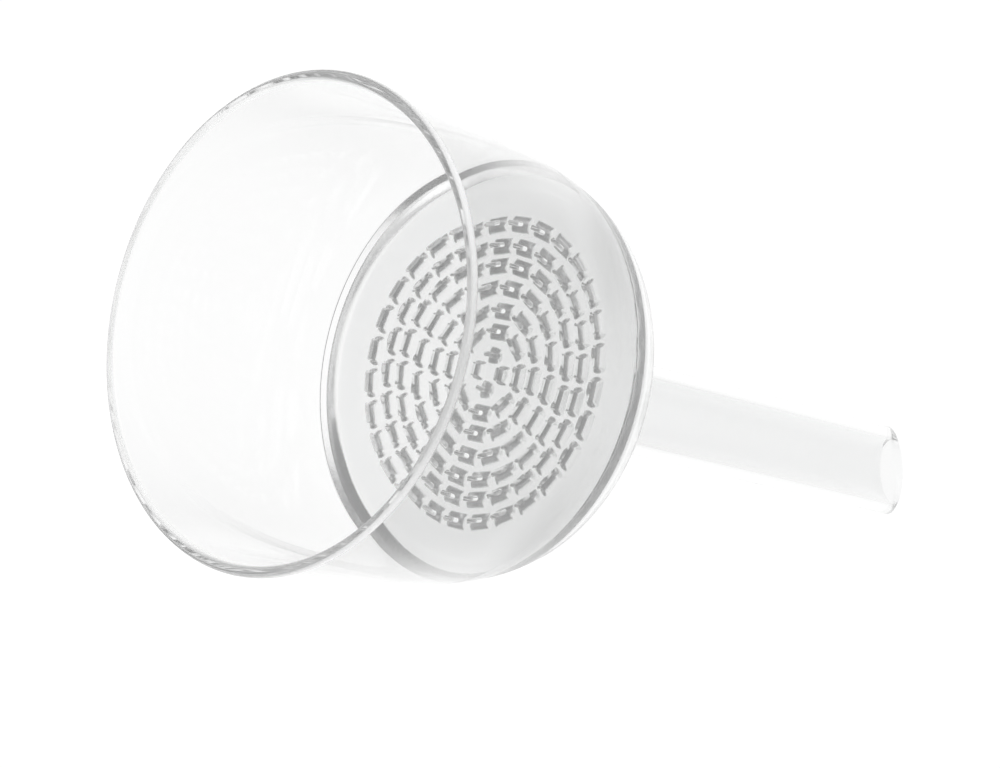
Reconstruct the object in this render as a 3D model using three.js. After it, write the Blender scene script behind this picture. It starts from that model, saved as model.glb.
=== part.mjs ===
// Slit-sieve glass funnel, 500 ml size: a bowl, a slotted sieve plate, a
// collector and a stem, all of clear borosilicate glass and all fused together.
//
// Millimetres, +Z up the axis towards the mouth. The origin is the centre of
// the sieve plate's upper face, so the bowl stands above it and the collector
// and the stem hang below it. Each glassblown piece is a mesh of its own, with
// a small gap left at each fused seam.

import * as THREE from 'three';

// ---------------------------------------------------------------- dimensions

const wallThickness = 2.2;
const seamGap = 0.3;
const turnSegments = 72;

// Bowl: a straight wall that opens upwards, drawn in a little more at its foot.
const rimRadius = 57;
const rimHeight = 63;
const rimThickness = 2.8;
const rimRounding = 1.1;
const kneeRadius = 50.9;
const kneeHeight = 5.5;
const footRadius = 49.6;
const cornerFillet = 2.8;

// Sieve plate: seven rings of slots that run round the centre, with a web of
// glass between each slot and the next in its ring.
const plateThickness = 4.5;
const plateRadius = 49;
const slotWidth = 1;
const slotWeb = 2.8;
const slotRings = [
  { count: 4, radius: 4, turn: 0 },
  { count: 8, radius: 9.4, turn: 1.7 },
  { count: 12, radius: 14.2, turn: 1.5 },
  { count: 16, radius: 19.5, turn: 20.3 },
  { count: 20, radius: 24.6, turn: 12.7 },
  { count: 24, radius: 29.2, turn: 11.2 },
  { count: 28, radius: 34.3, turn: 2 },
];

// Collector: a round shoulder, a cone, and a flare into the stem.
const shoulderRadius = 20;
const shoulderTopRadius = 48.1;
const shoulderTopAngle = 18;
const coneAngle = 44;
const flareRadius = 14;

// Stem: a straight tube with a thicker wall. Its end is cut at a slant and
// fire-polished. The tip's height is where the cut crosses the axis, its slant
// is counted from a square cut, and its longest side is at tipAzimuth.
const stemRadius = 11;
const stemWall = 3;
const stemTipHeight = -156.6;
const stemSegments = 48;
const tipRounding = 0.7;
const tipSlant = 37;
const tipAzimuth = 118;

// ------------------------------------------------------------------- outlines

const radians = THREE.MathUtils.degToRad;
const point = (radius, height) => new THREE.Vector2(radius, height);

// Points along an arc, in radius and height, with angles in degrees measured
// from straight outwards towards straight up.
function arc(centre, radius, fromAngle, toAngle, steps) {
  const points = [];
  for (let i = 0; i <= steps; i++) {
    const angle = radians(fromAngle + ((toAngle - fromAngle) * i) / steps);
    points.push(point(centre.x + radius * Math.cos(angle), centre.y + radius * Math.sin(angle)));
  }
  return points;
}

// The outline turned about the axis. It closes on itself, runs up its outer
// side and down its inner side.
function turned(outline, segments = turnSegments) {
  const closed = [...outline, outline[0].clone()];
  const geometry = new THREE.LatheGeometry(closed, segments);
  geometry.rotateX(Math.PI / 2);
  return geometry;
}

// ---------------------------------------------------------------------- glass

const glass = { color: 0xf4f7f7, roughness: 0.03, metalness: 0, transparent: true, opacity: 0.35 };

function glassMesh(name, geometry) {
  const mesh = new THREE.Mesh(geometry, new THREE.MeshStandardMaterial(glass));
  mesh.name = name;
  return mesh;
}

// ----------------------------------------------------------------------- bowl

// The wall thickens a little towards the rim. At its foot a fillet leads down
// onto the sieve plate.
function bowl() {
  const innerKneeRadius = kneeRadius - wallThickness;
  const rimOuter = point(rimRadius - rimRounding, rimHeight - rimRounding);
  const rimInner = point(rimRadius - rimThickness + rimRounding, rimHeight - rimRounding);
  const filletCentre = point(innerKneeRadius - cornerFillet, cornerFillet);
  const filletEnd = THREE.MathUtils.radToDeg(Math.asin((seamGap - cornerFillet) / cornerFillet));
  return turned([
    point(footRadius, seamGap),
    point(kneeRadius, kneeHeight),
    ...arc(rimOuter, rimRounding, 0, 90, 4),
    ...arc(rimInner, rimRounding, 90, 180, 4),
    ...arc(filletCentre, cornerFillet, 0, filletEnd, 4),
  ]);
}

// ---------------------------------------------------------------- sieve plate

// One slot, curved round the ring that it lies on, with a point at each end.
function slotOutline(ringRadius, slotCount, middleAngle) {
  const steps = 3;
  const endSpan = Math.PI / slotCount - slotWeb / 2 / ringRadius;
  const halfSpan = endSpan - slotWidth / 2 / ringRadius;
  const outer = ringRadius + slotWidth / 2;
  const inner = ringRadius - slotWidth / 2;
  const at = (radius, angle) => point(radius * Math.cos(angle), radius * Math.sin(angle));
  const points = [at(ringRadius, middleAngle - endSpan)];
  for (let i = 0; i <= steps; i++) {
    points.push(at(outer, middleAngle + halfSpan * ((2 * i) / steps - 1)));
  }
  points.push(at(ringRadius, middleAngle + endSpan));
  for (let i = 0; i <= steps; i++) {
    points.push(at(inner, middleAngle - halfSpan * ((2 * i) / steps - 1)));
  }
  return new THREE.Path(points);
}

function sievePlate() {
  const edge = [];
  for (let i = 0; i < turnSegments; i++) {
    const angle = (2 * Math.PI * i) / turnSegments;
    edge.push(point(plateRadius * Math.cos(angle), plateRadius * Math.sin(angle)));
  }
  const disc = new THREE.Shape(edge);
  for (const { count, radius, turn } of slotRings) {
    for (let i = 0; i < count; i++) {
      disc.holes.push(slotOutline(radius, count, radians(turn + (360 * i) / count)));
    }
  }
  const geometry = new THREE.ExtrudeGeometry(disc, { depth: plateThickness, bevelEnabled: false });
  geometry.translate(0, 0, -plateThickness);
  return geometry;
}

// ------------------------------------------------------------------ collector

// The shoulder curves in from the plate until it slopes like the cone, and the
// cone runs down into a flare that ends straight along the stem.
function collectorOutline() {
  const shoulderCentre = point(
    shoulderTopRadius - shoulderRadius * Math.cos(radians(shoulderTopAngle)),
    -plateThickness - seamGap + shoulderRadius * Math.sin(radians(shoulderTopAngle)),
  );
  const shoulderEnd = arc(shoulderCentre, shoulderRadius, -coneAngle, -coneAngle, 1)[0];
  const flareStartRadius = stemRadius + flareRadius * (1 - Math.cos(radians(coneAngle)));
  const coneDrop = (shoulderEnd.x - flareStartRadius) / Math.tan(radians(coneAngle));
  const flareCentre = point(
    stemRadius + flareRadius,
    shoulderEnd.y - coneDrop - flareRadius * Math.sin(radians(coneAngle)),
  );
  return { shoulderCentre, flareCentre };
}

function collector() {
  const { shoulderCentre, flareCentre } = collectorOutline();
  const outside = [
    ...arc(flareCentre, flareRadius, 180, 180 - coneAngle, 4),
    ...arc(shoulderCentre, shoulderRadius, -coneAngle, -shoulderTopAngle, 6),
  ];
  const inside = [
    ...arc(shoulderCentre, shoulderRadius - wallThickness, -shoulderTopAngle, -coneAngle, 6),
    ...arc(flareCentre, flareRadius + stemWall, 180 - coneAngle, 180, 4),
  ];
  inside[0] = point(inside[0].x, outside.at(-1).y);
  return turned([...outside, ...inside]);
}

// ----------------------------------------------------------------------- stem

function stem() {
  const top = collectorOutline().flareCentre.y - seamGap;
  const boreRadius = stemRadius - stemWall;
  const outerEdge = point(stemRadius - tipRounding, stemTipHeight + tipRounding);
  const innerEdge = point(boreRadius + tipRounding, stemTipHeight + tipRounding);
  const tube = turned([
    ...arc(outerEdge, tipRounding, -90, 0, 3),
    point(stemRadius, top),
    point(boreRadius, top),
    ...arc(innerEdge, tipRounding, -180, -90, 3),
  ], stemSegments);

  // The tip is turned square first, and its ring of points is then slid along
  // the axis onto the slant.
  const points = tube.getAttribute('position');
  const slope = Math.tan(radians(tipSlant));
  for (let i = 0; i < points.count; i++) {
    if (points.getZ(i) > top - 1) continue;
    const towardsLongest =
      points.getX(i) * Math.cos(radians(tipAzimuth)) + points.getY(i) * Math.sin(radians(tipAzimuth));
    points.setZ(i, points.getZ(i) - slope * towardsLongest);
  }
  tube.computeVertexNormals();
  return tube;
}

// --------------------------------------------------------------------- object

const funnel = new THREE.Group();
funnel.add(
  glassMesh('bowl', bowl()),
  glassMesh('sieve_plate', sievePlate()),
  glassMesh('collector', collector()),
  glassMesh('stem', stem()),
);

export default funnel;
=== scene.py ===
# %% [markdown]
# # A slit-sieve funnel in clear glass
# The real funnel is four pieces of borosilicate glass, blown or pressed and then
# fused in a flame: a bowl, a slotted sieve plate, a collector and a stem. It is
# almost a body of revolution, so most of it can be drawn as half a section and
# turned about the axis, as a glassblower's lathe turns it. Only the slots of the
# sieve plate and the slanted end of the stem break that symmetry.
#
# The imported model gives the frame: every size below starts from it.

# %% Load the frame
import math

import bpy
from mathutils import Matrix, Vector


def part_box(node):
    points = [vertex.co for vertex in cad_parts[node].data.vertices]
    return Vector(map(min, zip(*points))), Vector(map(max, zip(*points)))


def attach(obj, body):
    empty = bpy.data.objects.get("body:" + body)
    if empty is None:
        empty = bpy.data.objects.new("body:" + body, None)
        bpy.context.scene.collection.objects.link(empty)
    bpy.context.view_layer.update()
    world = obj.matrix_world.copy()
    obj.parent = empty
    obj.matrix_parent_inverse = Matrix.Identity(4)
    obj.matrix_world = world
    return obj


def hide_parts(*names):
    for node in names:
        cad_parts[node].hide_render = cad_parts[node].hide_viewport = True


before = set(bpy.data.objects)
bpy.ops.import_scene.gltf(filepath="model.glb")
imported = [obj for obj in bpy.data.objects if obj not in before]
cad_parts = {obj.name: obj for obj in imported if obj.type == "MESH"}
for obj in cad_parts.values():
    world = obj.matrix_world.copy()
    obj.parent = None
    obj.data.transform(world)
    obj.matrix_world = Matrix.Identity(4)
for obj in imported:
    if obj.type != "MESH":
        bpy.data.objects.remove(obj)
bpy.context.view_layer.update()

# %% [markdown]
# ## Sizes
# Blender works in metres, so a millimetre gets a name of its own. The outer sizes
# come from the nodes' boxes. The walls, roundings and slots are the glass's own.
# Two of them follow from the lean of the bowl's inner wall: how far a rounding of
# the inner corner reaches along each of its sides, and how much further in the
# wall stands at its foot.

# %% Sizes
MM = 0.001
same_place = 0.01 * MM
weld_distance = 0.001 * MM

rim_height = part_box("bowl")[1][2]
rim_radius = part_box("bowl")[1][0]
plate_thickness = -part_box("sieve_plate")[0][2]
flare_end_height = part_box("collector")[0][2]
stem_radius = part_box("stem")[1][0]

wall = 2.2 * MM
rim_thickness = 2.8 * MM
rim_rounding = 1.1 * MM
knee_radius = 50.9 * MM
knee_height = 5.5 * MM
knee_rounding = 2.5 * MM
foot_radius = 49.53 * MM
corner_fillet = 1.4 * MM
fillet_reach = 0.91 * corner_fillet
foot_inset = 0.093 * corner_fillet

shoulder_radius = 20 * MM
shoulder_axis_radius = 29.08 * MM
shoulder_axis_height = 1.38 * MM
cone_angle = math.radians(44)
flare_radius = 14 * MM

stem_wall = 3 * MM
tip_height = -156.6 * MM
tip_rounding = 0.7 * MM
tip_slant = math.radians(37)
tip_azimuth = math.radians(118)

turn_steps = 240
print("rim radius, mm:", round(rim_radius / MM, 2), " stem tip, mm:", round(tip_height / MM, 2))

# %% [markdown]
# ## The camera
# The camera comes first, so that every later choice can be judged through it. It
# looks down into the bowl from well above the rim and is rolled on its side, so
# that the funnel seems to lie with its stem pointing right. A long lens from about
# a metre away keeps the rim's ellipse calm. The aim is set off from the centre of
# the rim by shares of the rim's radius, to the right and down in the camera's view.

# %% Camera
camera_elevation = math.radians(46.64)
camera_roll = math.radians(-76.29)
camera_distance = 18.42 * rim_radius
aim_right, aim_up = 0.8397 * rim_radius, -0.2413 * rim_radius

tilt = Matrix.Rotation(math.pi / 2 - camera_elevation, 3, "X")
turn_to_view = tilt @ Matrix.Rotation(camera_roll, 3, "Z")
view_right, view_up, view_back = turn_to_view.col
rim_centre = Vector((0, 0, rim_height))

camera = bpy.data.objects.new("camera", bpy.data.cameras.new("camera"))
bpy.context.scene.collection.objects.link(camera)
camera.data.lens = 171.3
camera.data.sensor_width = 36
camera.data.clip_end = 20
camera.rotation_euler = turn_to_view.to_euler()
camera.location = rim_centre + aim_right * view_right + aim_up * view_up + camera_distance * view_back
bpy.context.scene.camera = camera
print("camera at, m:", [round(v, 3) for v in camera.location])

# %% [markdown]
# ## Shader maths
# A Math node for each sum soon hides what a material does. This small class wraps a
# socket, so that a pattern can be written as an ordinary expression, and one method
# adds every other kind of node.

# %% Shader helper
class Wire:
    """A socket of a node tree that can be added and multiplied like a number."""

    def __init__(self, tree, socket):
        self.tree, self.socket = tree, socket

    def maths(self, operation, *values):
        settings = {"operation": operation}
        return add_node(self.tree, "ShaderNodeMath", settings, dict(enumerate(values)))

    def __add__(self, other):
        return self.maths("ADD", self, other)

    def __mul__(self, other):
        return self.maths("MULTIPLY", self, other)

    __radd__, __rmul__ = __add__, __mul__


def add_node(tree, kind, settings=(), values=(), output=0):
    """Adds a node with its settings and its sockets' values or links, and gives its output as a Wire."""
    node = tree.nodes.new(kind)
    for key, value in dict(settings).items():
        setattr(node, key, value)
    for key, value in dict(values).items():
        if isinstance(value, Wire):
            tree.links.new(value.socket, node.inputs[key])
        else:
            node.inputs[key].default_value = value
    return Wire(tree, node.outputs[output])


def grey(tree, value):
    """The same brightness in red, green and blue."""
    return add_node(tree, "ShaderNodeCombineColor", values={0: value, 1: value, 2: value})


def smooth_step(tree, value, start, end):
    """0 where the value is at its start, 1 where it is at its end, and smooth between."""
    settings = {"interpolation_type": "SMOOTHSTEP"}
    return add_node(tree, "ShaderNodeMapRange", settings, {0: value, 1: start, 2: end})


print("shader helpers: Wire, add_node, grey, smooth_step")

# %% [markdown]
# ## The room
# Clear glass has no colour of its own: it shows the room bent and mirrored. It shows
# best before a bright backdrop in a greyer room, because its edges draw themselves
# as lines wherever they bend the view round to something darker. So the world is a
# grey room with a bright backdrop beyond the funnel and three soft boxes on the
# camera's side, to the left, to the right and above. Every direction is given by the
# camera's own three axes.

# %% World
def soft_field(tree, towards, direction, edge, full):
    """1 in the middle of a round field of the world, falling to 0 at its edge, both in degrees."""
    right, up, back = direction
    middle = (right * view_right + up * view_up + back * view_back).normalized()
    settings = {"operation": "DOT_PRODUCT"}
    facing = add_node(tree, "ShaderNodeVectorMath", settings, {0: towards, 1: middle}, "Value")
    return smooth_step(tree, facing, math.cos(math.radians(edge)), math.cos(math.radians(full)))


world = bpy.data.worlds.new("studio")
bpy.context.scene.world = world
world.use_nodes = True
studio = world.node_tree
towards = add_node(studio, "ShaderNodeTexCoord", output="Generated")
backdrop = soft_field(studio, towards, (0, 0, -1), 62, 32)
left_box = soft_field(studio, towards, (-1, 1, 1), 38, 22)
right_box = soft_field(studio, towards, (1, 0.4, 1), 42, 24)
top_box = soft_field(studio, towards, (0, 1, 1), 48, 25)

room_grey = 0.34
brightness = room_grey + 0.66 * backdrop + 0.5 * left_box + 0.4 * right_box + 0.5 * top_box
background = studio.nodes["Background"]
studio.links.new(grey(studio, brightness).socket, background.inputs["Color"])
background.inputs["Strength"].default_value = 1.0
print("world nodes:", len(studio.nodes))

# %% [markdown]
# ## Modelling helpers
# An operator acts on all that is selected, and selection flags linger on edges and
# faces. So every piece starts with nothing selected, and a later choice of vertices
# starts by deselecting everything in edit mode.

# %% Selecting
def start_modelling():
    """Leaves edit mode and deselects everything."""
    if bpy.context.object and bpy.context.object.mode != "OBJECT":
        bpy.ops.object.mode_set(mode="OBJECT")
    bpy.ops.object.select_all(action="DESELECT")


def take(piece):
    """Selects one piece alone and makes it the active one."""
    start_modelling()
    piece.select_set(True)
    bpy.context.view_layer.objects.active = piece


def edit_all(piece):
    """Enters edit mode with the whole piece selected."""
    bpy.context.view_layer.objects.active = piece
    bpy.ops.object.mode_set(mode="EDIT")
    bpy.ops.mesh.select_all(action="SELECT")


def edit_vertices(piece, chosen):
    """Enters edit mode with only the vertices selected whose place passes a test."""
    bpy.context.view_layer.objects.active = piece
    bpy.ops.object.mode_set(mode="EDIT")
    bpy.ops.mesh.select_all(action="DESELECT")
    bpy.ops.object.mode_set(mode="OBJECT")
    for vertex in piece.data.vertices:
        vertex.select = chosen(vertex.co)
    bpy.ops.object.mode_set(mode="EDIT")


start_modelling()
print("selected:", len(bpy.context.selected_objects))

# %% [markdown]
# ## The floor
# A plain pale floor lies well under the stem's tip, because the funnel is held by
# its stem and not stood on it. Nothing is placed on the floor. Its emission paints
# a pool of light where the camera looks at it, and again from about two metres off,
# like a light table. The greyer ring between gives the glass something to draw its edges with.

# %% Floor
floor_height = -400 * MM
start_modelling()
bpy.ops.mesh.primitive_plane_add(size=12, location=(0, 0, floor_height))
floor = bpy.context.object
floor.name = "floor"
bpy.ops.object.transform_apply(location=True, rotation=False, scale=False)
print("floor at, mm:", round(floor_height / MM, 1))

# %% Floor: painted pool of light
aim = rim_centre + aim_right * view_right + aim_up * view_up
pool_centre = aim + view_back * ((floor_height - aim.z) / view_back.z)
pool_edge, pool_full = 0.62, 0.29
far_start, far_full = 0.9, 2.0

# painted light: the floor's emission draws a pool of light where the camera's aim meets it, and a second
# glow about two metres off
floor_painted_light = bpy.data.materials.new("floor_painted_light")
floor_painted_light.use_nodes = True
table = floor_painted_light.node_tree
place = add_node(table, "ShaderNodeTexCoord", output="Object")
settings = {"operation": "DISTANCE"}
away = add_node(table, "ShaderNodeVectorMath", settings, {0: place, 1: pool_centre}, "Value")
pool = smooth_step(table, away, pool_edge, pool_full)
far = smooth_step(table, away, far_start, far_full)
# painted light: 0.16 is the floor's even glow, and the pool and the far glow on top of it are painted
# light
glow = 0.16 + 0.70 * pool + 0.50 * far

floor_shader = table.nodes["Principled BSDF"]
table.links.new(grey(table, glow).socket, floor_shader.inputs["Emission Color"])
floor_shader.inputs["Emission Strength"].default_value = 1.0
floor_shader.inputs["Base Color"].default_value = (0.3, 0.3, 0.3, 1)
floor_shader.inputs["Roughness"].default_value = 0.6
floor.data.materials.append(floor_painted_light)
print("glow centred at, m:", [round(v, 3) for v in pool_centre])

# %% [markdown]
# ## Glass
# Borosilicate glass bends light with an index of 1.473 and is almost without colour,
# so its tint is a very light grey, a little deeper in the thick pressed plate. The
# plate is taken to be left as it was pressed, and gets a slight roughness, which
# softens what is seen through it.
#
# Blown glass is never quite true: its surface rises and falls by a few hundredths of
# a millimetre over a centimetre or two, which is what makes lines seen through it
# wander. A Bump node with slow noise gives that, from Object coordinates, so it stays
# with the piece. A finer noise, drawn out along the axis, adds the faint streaks of
# drawn glass.

# %% Glass
glass_index = 1.473


def glass_material(name, wave_size, wave_height, tint, haze=0.0):
    """Clear glass with slow waves of that size and height, a tint and a roughness."""
    material = bpy.data.materials.new(name)
    material.use_nodes = True
    tree = material.node_tree
    place = add_node(tree, "ShaderNodeTexCoord", output="Object")
    values = {"Vector": place, "Scale": 1 / wave_size, "Detail": 2.0}
    slow = add_node(tree, "ShaderNodeTexNoise", values=values)
    values = {"Vector": place, "Scale": (1.0, 1.0, 0.15)}
    streaks = add_node(tree, "ShaderNodeMapping", values=values)
    values = {"Vector": streaks, "Scale": 4 / wave_size, "Detail": 1.0}
    fine = add_node(tree, "ShaderNodeTexNoise", values=values)
    values = {"Height": slow + 0.12 * fine, "Strength": 1.0, "Distance": wave_height}
    bump = add_node(tree, "ShaderNodeBump", values=values)
    shader = tree.nodes["Principled BSDF"]
    shader.inputs["Base Color"].default_value = tint
    shader.inputs["Roughness"].default_value = haze
    shader.inputs["IOR"].default_value = glass_index
    shader.inputs["Transmission Weight"].default_value = 1.0
    tree.links.new(bump.socket, shader.inputs["Normal"])
    return material


bowl_tint = (0.98, 0.982, 0.981, 1)
plate_tint = (0.955, 0.958, 0.957, 1)
tube_tint = (0.975, 0.978, 0.977, 1)
bowl_glass = glass_material("bowl_glass", 40 * MM, 0.012 * MM, bowl_tint)
plate_glass = glass_material("plate_glass", 9 * MM, 0.10 * MM, plate_tint, haze=0.22)
collector_glass = glass_material("collector_glass", 18 * MM, 0.06 * MM, tube_tint)
stem_glass = glass_material("stem_glass", 25 * MM, 0.03 * MM, tube_tint)
print("glasses:", [m.name for m in (bowl_glass, plate_glass, collector_glass, stem_glass)])

# %% [markdown]
# ## Fused joints
# Where two pieces are fused, the glass runs on with no surface between them. Each
# piece is still a closed mesh, so the faces inside the joint get a material that
# nothing can see.

# %% Joint material
fused_joint = bpy.data.materials.new("fused_joint")
fused_joint.use_nodes = True
fused_joint.node_tree.nodes["Principled BSDF"].inputs["Alpha"].default_value = 0.0


def add_glass(piece, glass, joint_heights):
    """Gives a piece its glass, and the unseen material on its flat joint faces at those heights."""
    piece.data.materials.append(glass)
    piece.data.materials.append(fused_joint)
    for face in piece.data.polygons:
        lies_flat = abs(face.normal.z) > 0.999
        if lies_flat and any(abs(face.center.z - height) < same_place for height in joint_heights):
            face.material_index = 1


print("joint material:", fused_joint.name)

# %% [markdown]
# ## Drawing a section
# A turned piece starts as one point. Straight stretches of the section are extruded
# from it, round ones are spun about their own centre, the outline is closed, and the
# whole of it is spun once round the Z axis. Arcs drawn this way are true arcs, and
# the piece comes out as one closed skin of even quads.

# %% Section helper
class Section:
    """Half a section, drawn in the plane y = 0 and then turned about Z."""

    def __init__(self, name, radius, height):
        start_modelling()
        bpy.ops.mesh.primitive_plane_add(size=MM, location=(0, 0, 0))
        self.piece = bpy.context.object
        self.piece.name = self.piece.data.name = name
        bpy.ops.object.mode_set(mode="EDIT")
        bpy.ops.mesh.select_all(action="SELECT")
        bpy.ops.mesh.merge(type="CENTER")
        bpy.ops.transform.translate(value=(radius, 0, height))
        self.pen = Vector((radius, 0, height))

    def line(self, radius, height):
        goal = Vector((radius, 0, height))
        bpy.ops.mesh.extrude_region_move(TRANSFORM_OT_translate={"value": goal - self.pen})
        self.pen = goal

    def arc(self, centre_radius, centre_height, turn, steps):
        """Draws on round a centre by an angle, counted from outwards towards upwards."""
        centre = Vector((centre_radius, 0, centre_height))
        bpy.ops.mesh.spin(steps=steps, angle=turn, center=centre, axis=(0, 1, 0))
        self.pen = centre + Matrix.Rotation(-turn, 3, "Y") @ (self.pen - centre)

    def soften(self, radius, height, reach):
        """Rounds the corner that stands at a point of the finished outline."""
        corner = Vector((radius, 0, height))
        edit_vertices(self.piece, lambda place: (place - corner).length < same_place)
        bpy.ops.mesh.bevel(
            affect="VERTICES", offset_type="OFFSET", offset=reach, segments=10, profile=0.5
        )

    def turned(self):
        """Turns the outline round the axis and points its faces outwards."""
        bpy.ops.mesh.select_all(action="SELECT")
        bpy.ops.mesh.remove_doubles(threshold=weld_distance)
        bpy.ops.mesh.spin(steps=turn_steps, angle=2 * math.pi, center=(0, 0, 0), axis=(0, 0, 1))
        bpy.ops.mesh.select_all(action="SELECT")
        bpy.ops.mesh.remove_doubles(threshold=weld_distance)
        bpy.ops.mesh.normals_make_consistent(inside=False)
        bpy.ops.object.mode_set(mode="OBJECT")
        return self.piece


print("steps in a turn:", turn_steps)

# %% [markdown]
# ## Finishing a piece
# Glass shows every flaw of its shading. Edges sharper than 35 degrees stay sharp, the
# rest are smoothed, and the normals are weighted by face area, so that a broad face
# stays flat right up to its rounding. The piece then rides on the one body and stands
# for its node.

# %% Finishing helper
def finish_piece(piece, node):
    """Smooths a piece, evens its normals by face area, and lets it stand for its node."""
    take(piece)
    bpy.ops.object.shade_smooth_by_angle(angle=math.radians(35))
    bpy.ops.object.modifier_add(type="WEIGHTED_NORMAL")
    evened = piece.modifiers[-1]
    evened.keep_sharp = True
    evened.weight = 100
    bpy.ops.object.modifier_apply(modifier=evened.name)
    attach(piece, "root")
    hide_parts(node)
    places = [[v.co[k] / MM for v in piece.data.vertices] for k in range(3)]
    low, high = [[round(f(along), 2) for along in places] for f in (min, max)]
    print(piece.name, len(piece.data.polygons), "faces, mm:", low, high)


print("finishing helper: finish_piece")

# %% [markdown]
# ## Bowl
# The wall is straight and opens upwards, thickens a little towards the rim, and is
# drawn in at its foot. The rim is fire-polished: two small roundings with a narrow
# flat land between them. Inside, a fillet leads down onto the sieve plate.

# %% Bowl
rim_edge = rim_height - rim_rounding
inner_rim_radius = rim_radius - rim_thickness
inner_foot_radius = knee_radius - wall - foot_inset

bowl_section = Section("funnel_bowl", foot_radius, 0)
bowl_section.line(knee_radius, knee_height)
bowl_section.line(rim_radius, rim_edge)
bowl_section.arc(rim_radius - rim_rounding, rim_edge, math.pi / 2, 14)
bowl_section.line(inner_rim_radius + rim_rounding, rim_height)
bowl_section.arc(inner_rim_radius + rim_rounding, rim_edge, math.pi / 2, 14)
bowl_section.line(inner_foot_radius, 0)
bowl_section.line(foot_radius, 0)
bowl_section.soften(inner_foot_radius, 0, fillet_reach)
bowl_section.soften(knee_radius, knee_height, knee_rounding)
bowl = bowl_section.turned()
add_glass(bowl, bowl_glass, [0])
finish_piece(bowl, "bowl")

# %% [markdown]
# ## Sieve plate
# The plate is a thick disc whose edge carries the outer wall on from the bowl's foot
# to the collector's shoulder. The parts of its two faces that lie under the bowl's
# foot and on the collector's wall are inside the fused joints. Each broad face is
# dissolved to one face before the slots are cut.

# %% Plate blank
shoulder_drop = plate_thickness + shoulder_axis_height
outer_top_angle = math.asin(shoulder_drop / shoulder_radius)
inner_top_angle = math.asin(shoulder_drop / (shoulder_radius - wall))
collector_outer_top = shoulder_axis_radius + shoulder_radius * math.cos(outer_top_angle)
collector_inner_top = shoulder_axis_radius + (shoulder_radius - wall) * math.cos(inner_top_angle)
clear_radius = inner_foot_radius - fillet_reach
edge_swell = 0.05 * MM

plate_section = Section("funnel_sieve_plate", 0, 0)
plate_section.line(clear_radius, 0)
plate_section.line(foot_radius, 0)
plate_section.line(0.5 * (foot_radius + collector_outer_top) + edge_swell, -0.5 * plate_thickness)
plate_section.line(collector_outer_top, -plate_thickness)
plate_section.line(collector_inner_top, -plate_thickness)
plate_section.line(0, -plate_thickness)
plate = plate_section.turned()
add_glass(plate, plate_glass, [])
for face in plate.data.polygons:
    at_top = face.center.z > -same_place
    at_bottom = face.center.z < same_place - plate_thickness
    reach = math.hypot(face.center.x, face.center.y)
    if (at_top and reach > clear_radius) or (at_bottom and reach > collector_inner_top):
        face.material_index = 1
edit_all(plate)
bpy.ops.mesh.dissolve_limited(angle_limit=math.radians(0.05), delimit={"MATERIAL"})
bpy.ops.object.mode_set(mode="OBJECT")
print("plate blank faces:", len(plate.data.polygons))
print("clear radius, mm:", round(clear_radius / MM, 2))

# %% [markdown]
# ## Slots
# A slot is narrow where the liquid enters it, so that the holes stay small under the
# filter paper, and it opens out in a round mouth underneath. One cutter is modelled:
# a disc is pulled out to a rounded strip, pulled down through the plate past a small
# rounding at the top, and widened in steps along a rounded slope. It starts above
# the plate and ends below it, so that no two faces of cutter and plate coincide.

# %% Levels of the cutter
slot_width, slot_length = 1.0 * MM, 4.8 * MM
edge_round, edge_steps = 0.2 * MM, 4
mouth_width, mouth_length, mouth_depth = 1.55 * MM, 1.1 * MM, 2.0 * MM
mouth_steps, slope_power = 10, 1.3
overshoot = 1 * MM

# how much wider and longer than the slot on each side, and at what height
levels = [(edge_round, edge_round, overshoot)]
for step in range(edge_steps + 1):
    angle = math.pi / 2 * step / edge_steps
    wider = edge_round * (1 - math.sin(angle))
    levels.append((wider, wider, -edge_round * (1 - math.cos(angle))))
for step in range(mouth_steps + 1):
    way = step / mouth_steps
    spread, rise = way**slope_power, (1 - way) ** slope_power
    height = -plate_thickness + mouth_depth * rise
    levels.append((mouth_width * spread, mouth_length * spread, height))
levels.append((mouth_width, mouth_length, -plate_thickness - overshoot))
print("levels:", len(levels))

# %% Slot cutter
start_modelling()
end_radius = slot_width / 2 + edge_round
bpy.ops.mesh.primitive_circle_add(vertices=36, radius=end_radius, fill_type="NGON")
cutter = bpy.context.object
cutter.name = "slot_cutter"
for side in (-1, 1):
    edit_vertices(cutter, lambda place: place.y * side > same_place)
    bpy.ops.transform.translate(value=(0, side * (slot_length - slot_width) / 2, 0))
bpy.ops.mesh.select_all(action="SELECT")
bpy.ops.transform.translate(value=(0, 0, overshoot))

for (wide, long, height), (next_wide, next_long, next_height) in zip(levels, levels[1:]):
    down = (0, 0, next_height - height)
    bpy.ops.mesh.extrude_region_move(TRANSFORM_OT_translate={"value": down})
    widen = (slot_width + 2 * next_wide) / (slot_width + 2 * wide)
    lengthen = (slot_length + 2 * next_long) / (slot_length + 2 * long)
    bpy.ops.transform.resize(value=(widen, lengthen, 1), center_override=(0, 0, next_height))
bpy.ops.mesh.select_all(action="SELECT")
bpy.ops.mesh.normals_make_consistent(inside=False)
bpy.ops.object.mode_set(mode="OBJECT")
print("cutter faces:", len(cutter.data.polygons))

# %% [markdown]
# ## Rings of slots
# Each ring takes a copy of the cutter, fits it to the ring's own slot length, moves it
# out to the ring's radius, and spins copies of it round the axis. The rings are joined
# to one cutter, and a Boolean takes it from the plate once. The mouths don't meet, so
# a web of glass is left between any two slots.

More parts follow.
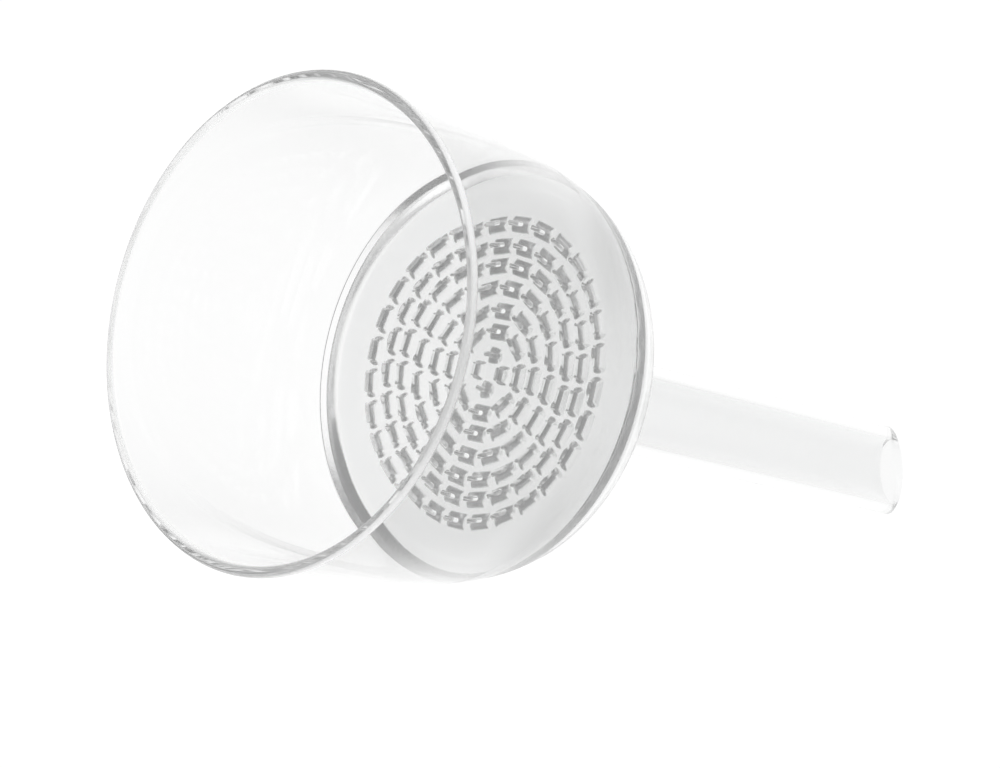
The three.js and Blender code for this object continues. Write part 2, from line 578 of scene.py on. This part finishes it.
# %% Rings of slots
# how many slots, the ring's radius, its turn in degrees and the length of a slot
rings = [
    (4, 4.0, 0.0, 3.0),
    (8, 9.4, 1.7, 4.6),
    (12, 14.2, 1.5, 4.6),
    (16, 19.5, 20.3, 4.9),
    (20, 24.6, 12.7, 4.9),
    (24, 29.2, 11.2, 4.8),
    (28, 34.3, 2.0, 4.9),
]
ring_cutters = []
for count, radius, turn, length in rings:
    take(cutter)
    bpy.ops.object.duplicate()
    ring = bpy.context.object
    edit_all(ring)
    stretch = length * MM / slot_length
    bpy.ops.transform.resize(value=(1, stretch, 1), center_override=(0, 0, 0))
    bpy.ops.transform.translate(value=(radius * MM, 0, 0))
    bpy.ops.object.mode_set(mode="OBJECT")
    ring.rotation_euler.z = math.radians(turn)
    bpy.ops.object.transform_apply(location=False, rotation=True, scale=False)
    edit_all(ring)
    last_turn = 2 * math.pi / count * (count - 1)
    bpy.ops.mesh.spin(
        steps=count - 1, angle=last_turn, center=(0, 0, 0), axis=(0, 0, 1), dupli=True
    )
    bpy.ops.object.mode_set(mode="OBJECT")
    ring_cutters.append(ring)
print("slots:", sum(ring[0] for ring in rings))

# %% Cut the slots
take(ring_cutters[0])
for ring in ring_cutters:
    ring.select_set(True)
bpy.ops.object.join()
all_slots = bpy.context.object

take(plate)
cut = plate.modifiers.new("slots", "BOOLEAN")
cut.operation, cut.solver, cut.object = "DIFFERENCE", "EXACT", all_slots
bpy.ops.object.modifier_apply(modifier=cut.name)
for used in (cutter, all_slots):
    bpy.data.objects.remove(used)
finish_piece(plate, "sieve_plate")

# %% [markdown]
# ## Collector
# A round shoulder turns in from the plate, a cone gathers the liquid, and a flare
# leads into the stem. Inner and outer arcs share their centres, so the wall keeps one
# thickness on the shoulder and grows to the stem's in the flare.

# %% Collector
stem_bore = stem_radius - stem_wall
flare_reach = flare_radius + stem_wall
shoulder_centre = shoulder_axis_radius, shoulder_axis_height
flare_centre = stem_radius + flare_radius, flare_end_height


def on_arc(centre, radius, angle):
    return centre[0] + radius * math.cos(angle), centre[1] + radius * math.sin(angle)


collector_section = Section("funnel_collector", stem_radius, flare_end_height)
collector_section.arc(*flare_centre, -cone_angle, 14)
collector_section.line(*on_arc(shoulder_centre, shoulder_radius, -cone_angle))
collector_section.arc(*shoulder_centre, cone_angle - outer_top_angle, 16)
collector_section.line(collector_inner_top, -plate_thickness)
collector_section.arc(*shoulder_centre, inner_top_angle - cone_angle, 16)
collector_section.line(*on_arc(flare_centre, flare_reach, math.pi - cone_angle))
collector_section.arc(*flare_centre, cone_angle, 14)
collector_section.line(stem_radius, flare_end_height)
collector = collector_section.turned()
add_glass(collector, collector_glass, [-plate_thickness, flare_end_height])
finish_piece(collector, "collector")

# %% [markdown]
# ## Stem
# A straight, thicker-walled tube, drawn longer than it needs to be. Its lower end is
# cut off at a slant, the two open edges are bridged, and the ring of new glass is
# rounded on both sides, as the flame rounds it.

# %% Stem
uncut_height = 1.2 * tip_height

stem_section = Section("funnel_stem", stem_radius, flare_end_height)
stem_section.line(stem_bore, flare_end_height)
stem_section.line(stem_bore, uncut_height)
stem_section.line(stem_radius, uncut_height)
stem_section.line(stem_radius, flare_end_height)
stem = stem_section.turned()

lean = math.tan(tip_slant)
cut_normal = Vector((lean * math.cos(tip_azimuth), lean * math.sin(tip_azimuth), 1))
edit_all(stem)
bpy.ops.mesh.bisect(plane_co=(0, 0, tip_height), plane_no=cut_normal, clear_inner=True)
bpy.ops.mesh.bridge_edge_loops()
bpy.ops.mesh.region_to_loop()
bpy.ops.mesh.bevel(affect="EDGES", offset=tip_rounding, segments=8, profile=0.5)
bpy.ops.mesh.select_all(action="SELECT")
bpy.ops.mesh.normals_make_consistent(inside=False)
bpy.ops.object.mode_set(mode="OBJECT")
add_glass(stem, stem_glass, [flare_end_height])
finish_piece(stem, "stem")

# %% [markdown]
# ## Light paths
# Light crosses many glass surfaces before it reaches the lens, and some of it runs
# along inside a wall as in a light guide. Too few bounces would leave those paths
# black.

# %% Light paths
scene = bpy.context.scene
scene.view_settings.view_transform = "Standard"
light_bounces = 256
scene.cycles.max_bounces = light_bounces
scene.cycles.transmission_bounces = light_bounces
scene.cycles.glossy_bounces = light_bounces
scene.cycles.transparent_max_bounces = light_bounces
print("bounces:", scene.cycles.max_bounces)
